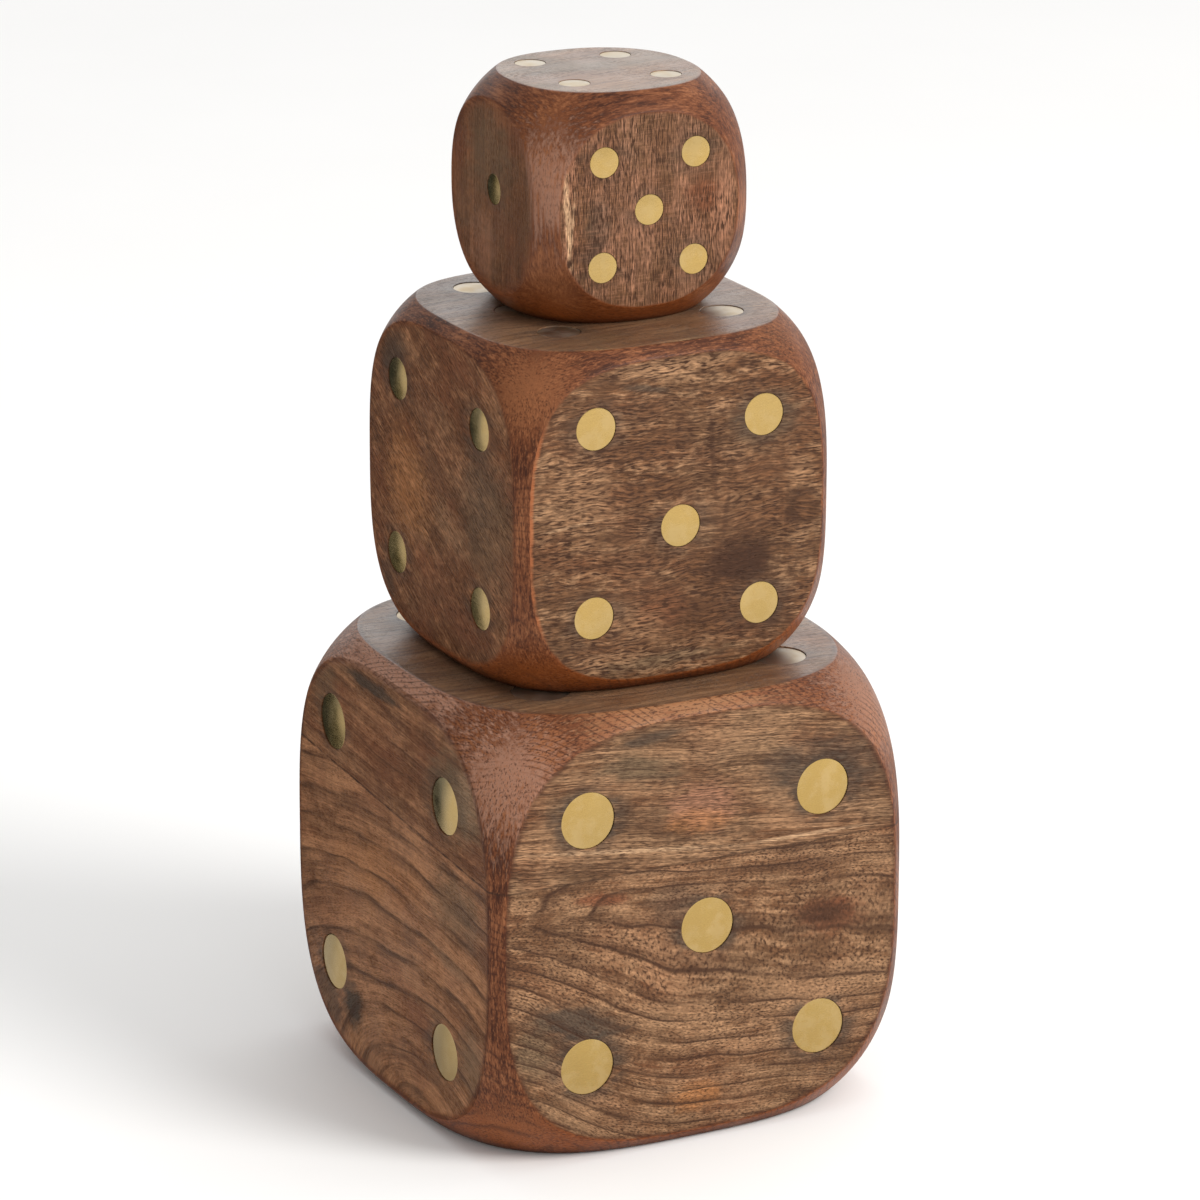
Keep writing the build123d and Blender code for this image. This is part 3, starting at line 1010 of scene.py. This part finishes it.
FIGURES = {
    ("large_upper_board", "front"): figure(
        seed=1, grain=-7, sway=1.0, rings=0.2, ring_gap=3.4, threads=0.55, thread_width=0.5,
        streaks=0.7, mottle=0.4, dashes=0.75, dash_length=3.0, pores=0.3, olive=0.3, halo=0.8,
        spots=(
            (0, 41, 15, 9, -6, PINK, 0.85), (-2, 36, 16, 5, -6, ORANGE, 0.45),
            (-8, 52, 24, 4, -10, BROWN, 0.5), (-24, 57, 18, 6, -14, OLIVE, 0.8),
            (-46, 47, 16, 7, -8, OLIVE, 0.45), (46, 46, 26, 15, -5, SLATE, 0.65),
            (28, 50, 9, 8, -5, SLATE, 0.45), (20, 65, 34, 3.5, 2, TAN, 0.8),
            (-20, 67, 16, 2.5, 4, SLATE, 0.7), (-26, 29.5, 44, 1.0, -7, CREAM, 0.75),
            (-40, 34, 22, 1.6, -8, TAN, 0.8), (38, 24.5, 28, 0.9, -1, CREAM, 0.7),
        ),
    ),
    ("large_lower_board", "front"): figure(
        seed=2, grain=-5, fall=23.0, sway=1.3, ring_gap=5.6, ring_core=0.30, ring_unrest=0.9,
        pith=(-22, 11, 0.26, 0.03), rings=0.8, threads=0.15, streaks=0.35, mottle=0.5,
        dashes=0.85, dash_length=1.25, dash_width=0.50, pore_length=1.3, pore_width=0.5,
        pore_share=0.5, pores=0.3, olive=0.2, halo=0.8,
        spots=(
            (-38, 15, 12, 2.6, -8, RED, 0.85), (-58, 10, 7, 7, 0, BROWN, 0.6),
            (30, 15, 40, 3.5, -3, BROWN, 0.6), (47, -5, 15, 8, -6, RED, 0.75),
            (44, -4, 12, 5, -6, UMBER, 0.8), (-2, -60, 11, 6, 0, ORANGE, 0.65),
            (-46, -27, 22, 8, -16, SLATE, 0.85), (-62, -34, 9, 12, 0, OLIVE, 0.7),
            (-10, 9, 14, 8, -10, SLATE, 0.45), (40, -34, 28, 12, -8, TAN, 0.6),
            (-52, -8, 14, 6, -30, TAN, 0.5), (-46, -55, 16, 3, -35, TAN, 0.8),
        ),
    ),
    ("large_upper_board", "left"): figure(
        **SIDE, seed=3, grain=-4, ring_gap=9, rings=0.35, olive=0.15, balance=0.42, red=0.5,
        spots=(
            (48, 46, 22, 16, -6, OLIVE, 0.8), (58, 48, 10, 14, -6, CREAM, 0.25),
            (-14, 66, 26, 3.0, 0, SLATE, 0.8), (-50, 56, 12, 10, 30, OLIVE, 0.5),
            (-8, 44, 34, 12, 0, RED, 0.35),
        ),
    ),
    ("large_lower_board", "left"): figure(
        **{**SIDE, "sway": 1.1}, seed=4, grain=-2, ring_gap=11.0, ring_core=0.7, ring_unrest=1.2,
        pith=(25, -74, 0.45, 0.55), rings=0.7, arched=True, olive=0.1, balance=0.55, red=0.3,
        spots=(
            (48, 9, 22, 14, -2, OLIVE, 0.55), (-10, 3, 36, 12, 6, ORANGE, 0.35),
            (44, -12, 22, 3, -8, TAN, 0.6), (-30, -53, 9, 10, 0, SLATE, 0.9),
            (-50, -56, 14, 12, -40, SLATE, 0.6), (60, -42, 10, 16, 20, OLIVE, 0.6),
            (20, -40, 16, 6, 0, RED, 0.5),
        ),
    ),
    ("middle_block", "front"): figure(
        seed=5, grain=-2, sway=1.5, sway_length=27.0, ring_gap=4.4, ring_core=0.30,
        ring_unrest=1.2, threads=0.25, thread_width=0.50, streaks=0.35,
        streak_length=9.0, mottle=0.7, dashes=1.0, dash_length=3.6, dash_width=0.65,
        dash_level=0.505, balance=0.35, pore_length=2.2, pore_width=0.42, pore_share=0.5,
        pores=0.35, olive=0.2,
        spots=(
            (-36, 10, 16, 16, 0, TAN, 0.5), (-14, 26, 18, 10, 0, BROWN, 0.45),
            (32, 8, 22, 34, 0, BROWN, 0.6), (22, -20, 17, 13, 20, UMBER, 1.0),
            (24, -21, 12, 9, 20, DARK, 0.35), (32, 28, 15, 10, 0, OLIVE, 0.6),
            (0, 50, 30, 3.0, 4, TAN, 0.8), (-12, 44, 10, 1.6, -12, SLATE, 0.7),
            (-39, 1.5, 13, 0.7, 5, CREAM, 0.5), (12.5, 20, 1.3, 18, 5, UMBER, 0.6),
            (17.5, -2, 1.3, 12, -8, UMBER, 0.5), (45, 10, 7, 5, 0, TAN, 0.5),
            (46, -3, 8.5, 8, 0, DARK, 0.75), (47.5, -3, 6, 5.5, 0, BROWN, 0.9),
            (12, -34, 26, 12, 0, BROWN, 1.0), (6, -33, 18, 7, 0, UMBER, 0.35),
            (-4, -48, 30, 3.0, 2, OLIVE, 0.6), (-16, -34, 16, 7, -20, TAN, 0.4),
            (-6, -30, 12, 10, 0, RED, 0.3), (30, -38, 14, 6, 0, UMBER, 0.5),
        ),
    ),
    ("middle_block", "left"): figure(
        **{**SIDE, "mottle": 0.8, "dashes": 0.6, "threads": 0.1}, seed=6, grain=-30, balance=0.36,
        rings=0.1, red=0.6, dash_length=3.0, dash_width=0.8, streak_length=12.0, olive=0.2,
        spots=(
            (-24, -4, 18, 22, 20, ORANGE, 0.45), (-34, 38, 14, 10, 30, SLATE, 0.6),
            (34, -2, 20, 34, 0, OLIVE, 0.45), (26, 6, 18, 20, 0, SLATE, 0.3),
            (-44, -44, 12, 12, 0, SLATE, 0.5), (8, -10, 16, 8, -30, TAN, 0.4),
        ),
    ),
    ("small_block", "front"): figure(
        **UPRIGHT, seed=7, grain=90, sway=0.5, ring_gap=2.6, rings=0.1, mottle=0.6, dashes=1.0,
        dash_level=0.51, pore_length=1.8, pore_width=0.30, pore_share=0.5, pores=0.35,
        ray_fleck=0.30, halo=0.4, olive=0.2,
        spots=(
            (-18, -4, 6, 11, 0, SLATE, 0.5), (-22, -12, 7, 6, 0, UMBER, 0.5),
            (20, 3, 8, 7, 0, RED, 0.7), (27, 0, 5, 18, 0, PINK, 0.5),
            (-29.0, 1, 1.5, 19, 4, CREAM, 0.75), (-27.6, -4, 0.9, 12, -6, CREAM, 0.6),
        ),
    ),
    ("small_block", "left"): figure(
        **{**SIDE, "fade": 0.16, "ragged": 0.08, "light": BAND_LIGHT}, seed=8, grain=90,
        balance=0.42, rings=0.1, olive=0.3, red=0.7, streak_width=1.2, halo=0.2,
        spots=(
            (-2, 12, 20, 16, 0, OLIVE, 0.5), (-8, -18, 12, 14, 0, PINK, 0.4),
            (-26, 14, 6, 12, 0, RED, 0.6), (20, -2, 8, 20, 0, BROWN, 0.5),
        ),
    ),
    ("large_upper_board", "top"): figure(**TOP, seed=31, grain=-3, rings=0.4),
    ("middle_block", "top"): figure(**TOP, seed=32, grain=4, rings=0.3, balance=0.46),
    ("small_block", "top"): figure(**TOP, seed=33, grain=12, rings=0.1, halo=0.2, olive=0.8),
}

# The faces turned away from the front view: plain wood, upright in the small die.
LEVEL_SIDE = figure(sway=1.8, sway_length=60.0, mottle=0.45, dash_length=2.6)
UPRIGHT_SIDE = figure(**UPRIGHT, sway=0.6, mottle=0.55, dashes=0.9, rings=0.2)
PLAIN_SEED = 10
# How far the fibres of the plain faces lean, in turn, in degrees.
LEANS = (-4, -1, 2, 5)


def figure_for(node, face, index):
    """The figure laid out for a face, or plain wood cut from another place."""
    if (node, face) in FIGURES:
        return FIGURES[node, face]
    seed = PLAIN_SEED + index
    lean = LEANS[index % len(LEANS)]
    if node == "small_block" and face != "bottom":
        return {**UPRIGHT_SIDE, "seed": seed, "grain": 90 + lean}
    return {**LEVEL_SIDE, "seed": seed, "grain": lean}


# ---- the object
BODY_OF = {"large": "large_die", "middle": "middle_die", "small": "small_die"}
# The brass of each face's discs: painted dark reflection on the left, wear and a painted
# pale sheen on the top. The other faces have the satin of the front.
FINISH_AND_LIGHT_OF = {"left": "painted_dark", "top": "worn"}
SEEDS_PER_DIE = 10


def add_object(name, data):
    """A new object in the scene."""
    thing = bpy.data.objects.new(name, data)
    bpy.context.scene.collection.objects.link(thing)
    return thing


def add_piece(die, node, mesh, place, materials):
    """One finished piece in place of its CAD node."""
    name = f"{node}_finished"
    data = bpy.data.meshes.new(name)
    mesh.to_mesh(data)
    mesh.free()
    data.shade_smooth()
    data.set_sharp_from_angle(angle=SHARP_ANGLE)
    for material in materials:
        data.materials.append(material)
    piece = add_object(name, data)
    piece.matrix_world = place
    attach(piece, BODY_OF[die])
    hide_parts(node)


def add_wood(die, node, mesh, place, half, pips, first_seed, joint, band):
    """One piece of wood, with a material for each of the die's faces."""
    materials = []
    for index, face in enumerate(FACES):
        fig = figure_for(node, face, first_seed + index)
        materials.append(face_material(die, node, face, half, pips[face], fig, joint, band))
    materials.append(rounding_material(node, joint, band))
    add_piece(die, node, mesh, place, materials)


def add_pips(die, place, half, pips, nodes):
    """The brass discs of each face of the die."""
    brasses = {
        "satin": brass_material(die, "satin"),
        "painted_dark": brass_material(die, "painted_dark", pips["left"]),
        "worn": brass_material(die, "worn"),
    }
    for face, node in nodes.items():
        mesh = bmesh.new()
        for pip in pips[face]:
            add_disc(mesh, on_face(face, half), pip)
        bmesh.ops.recalc_face_normals(mesh, faces=mesh.faces)
        brass = brasses[FINISH_AND_LIGHT_OF.get(face, "satin")]
        add_piece(die, node, mesh, place, [brass])


def add_die(die, first_seed):
    """A whole die: its wood, cut into boards if it is glued up, and its pips."""
    place, half = die_place(die)
    pips, nodes = die_pips(die, place)
    add_pips(die, place, half, pips, nodes)
    band = band_group(die, half)
    for node in WOOD_NODES[die]:
        mesh = die_mesh(die, half, pips)
        joint = None
        if die == "large":
            joint = glue_joint(place.translation, half)
            cut_at(mesh, joint, keep_above=node == "large_upper_board")
        add_wood(die, node, mesh, place, half, pips, first_seed, joint, band)


# ---- studio
FLOOR_PALE = (0.92, 0.92, 0.92, 1)
FLOOR_PALER = (0.95, 0.95, 0.95, 1)
FLOOR_REACH = 12.0
FLOOR_CLOUD = 180.0  # size of the floor's faint clouds, in mm
FLOOR_RELIEF = 0.01 * MM
CARD_DARK = (0.02, 0.025, 0.015, 1)
CARD_GREEN = (0.04, 0.045, 0.03, 1)
CARD_CLOUD = 200.0
CARD_HEIGHT = 2 * MM
# The card's corners on the floor: it starts just behind the stack's left side.
CARD_CORNERS = ((-0.085, 0.17), (-0.085, 3.0), (-1.63, 3.0), (-0.163, 0.17))


def add_sheet(name, corners, height, material):
    """A flat four-cornered sheet of the studio."""
    mesh = bpy.data.meshes.new(name)
    mesh.from_pydata([(x, y, height) for x, y in corners], [], [(0, 1, 2, 3)])
    mesh.materials.append(material)
    sheet = add_object(name, mesh)
    sheet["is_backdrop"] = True
    return sheet


def floor_material():
    """Matt white paper, without any shine."""
    shader = Shader("pale_floor")
    x, y, z = shader.place()
    cloud = shader.noise((x / FLOOR_CLOUD, y / FLOOR_CLOUD, z), 3.0)
    colour = shader.mix(cloud, FLOOR_PALE, FLOOR_PALER)
    roughness = cloud.ease(0.3, 0.7, 0.75, 0.85)
    matt = {"Specular IOR Level": 0.0}
    return shader.finish(colour, roughness, cloud, FLOOR_RELIEF, **matt)


def add_floor():
    """The ground the stack stands on."""
    reach = FLOOR_REACH
    corners = ((-reach, -reach), (reach, -reach), (reach, reach), (-reach, reach))
    add_sheet("floor", corners, 0.0, floor_material())


def card_material():
    """Dark greenish card."""
    shader = Shader("dark_card")
    x, y, z = shader.place()
    cloud = shader.noise((x / CARD_CLOUD, y / CARD_CLOUD, z), 2.0)
    colour = shader.mix(cloud, CARD_DARK, CARD_GREEN)
    return shader.finish(colour, cloud.ease(0.3, 0.7, 0.8, 0.9), cloud, FLOOR_RELIEF)


def add_dark_card():
    """A dark card on the floor behind the left side, seen only in reflections."""
    card = add_sheet("dark_card", CARD_CORNERS, CARD_HEIGHT, card_material())
    card.visible_camera = False
    card.visible_diffuse = False
    card.visible_shadow = False
    card.visible_transmission = False


# The key light, high at the right in front of the stack.
KEY_PLACE = (1.0, -1.7, 1.7)
KEY_TARGET = (0, 0, 0.2)
KEY_SIZE = 1.1
KEY_POWER = 42.0
KEY_COLOUR = (1.0, 0.98, 0.95)


def add_key_light():
    """A round soft light that looks at the middle of the stack."""
    data = bpy.data.lights.new("key", "AREA")
    data.shape = "DISK"
    data.size = KEY_SIZE
    data.energy = KEY_POWER
    data.color = KEY_COLOUR
    light = add_object("key", data)
    light.location = KEY_PLACE
    look = Vector(KEY_TARGET) - light.location
    light.rotation_euler = look.to_track_quat("-Z", "Y").to_euler()


# The white studio: its brightness to the left, all round, and low down behind the stack.
STUDIO_WHITE = (1.0, 0.995, 0.985, 1)
DIM_SIDE = 0.45
ALL_ROUND = 1.0
BACKDROP = 1.35
# Where the dim side and the backdrop lie, and between which cosines of the angle to them
# they set in.
DIM_DIRECTION = (-1, 0.3, 0)
DIM_SPREAD = (-0.1, 0.8)
BACK_DIRECTION = (0.45, 0.85, 0.2)
BACK_SPREAD = (0.5, 0.95)


def lobe(graph, direction, spread, start, end):
    """Brightness that goes from start to end as the view turns towards a direction."""
    look = graph.node("ShaderNodeTexCoord").outputs["Generated"]
    both = {0: look, 1: Vector(direction).normalized()}
    turned = graph.node("ShaderNodeVectorMath", both, operation="DOT_PRODUCT")
    return Field(graph, turned.outputs["Value"]).ease(*spread, start, end)


def add_surroundings():
    """A white studio that is dimmer on the left and brightest low down behind the stack."""
    world = bpy.data.worlds.new("studio")
    world.use_nodes = True
    graph = Graph(world.node_tree)
    side = lobe(graph, DIM_DIRECTION, DIM_SPREAD, ALL_ROUND, DIM_SIDE)
    back = lobe(graph, BACK_DIRECTION, BACK_SPREAD, 0.0, BACKDROP - ALL_ROUND)
    light = {"Color": STUDIO_WHITE, "Strength": side + back}
    background = graph.node("ShaderNodeBackground", light)
    graph.node("ShaderNodeOutputWorld", {"Surface": background.outputs[0]})
    bpy.context.scene.world = world


# The camera stands to the left of the front, a little above the stack. Angles in degrees.
CAMERA_PLACE = (-0.8602, -1.6403, 0.7650)
CAMERA_AZIMUTH = -27.715
CAMERA_PITCH = 17.954
CAMERA_ROLL = 0.19
CAMERA_LENS = 176.04
SENSOR_WIDTH = 36.0


def add_camera():
    """The camera of the photo."""
    data = bpy.data.cameras.new("camera")
    data.lens = CAMERA_LENS
    data.sensor_width = SENSOR_WIDTH
    data.clip_start = 0.01
    camera = add_object("camera", data)
    camera.location = CAMERA_PLACE
    turn = Matrix.Rotation(radians(CAMERA_AZIMUTH), 3, "Z")
    tip = Matrix.Rotation(radians(90 - CAMERA_PITCH), 3, "X")
    roll = Matrix.Rotation(radians(CAMERA_ROLL), 3, "Z")
    camera.rotation_euler = (turn @ tip @ roll).to_euler()
    bpy.context.scene.camera = camera


for number, die_name in enumerate(DICE):
    add_die(die_name, SEEDS_PER_DIE * number)
add_floor()
add_dark_card()
add_surroundings()
add_key_light()
add_camera()
bpy.context.scene.view_settings.view_transform = "Standard"

boxes = {"cad": cad_box, "visual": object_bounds()}
plain = {key: [[float(n) for n in corner] for corner in box] for key, box in boxes.items()}
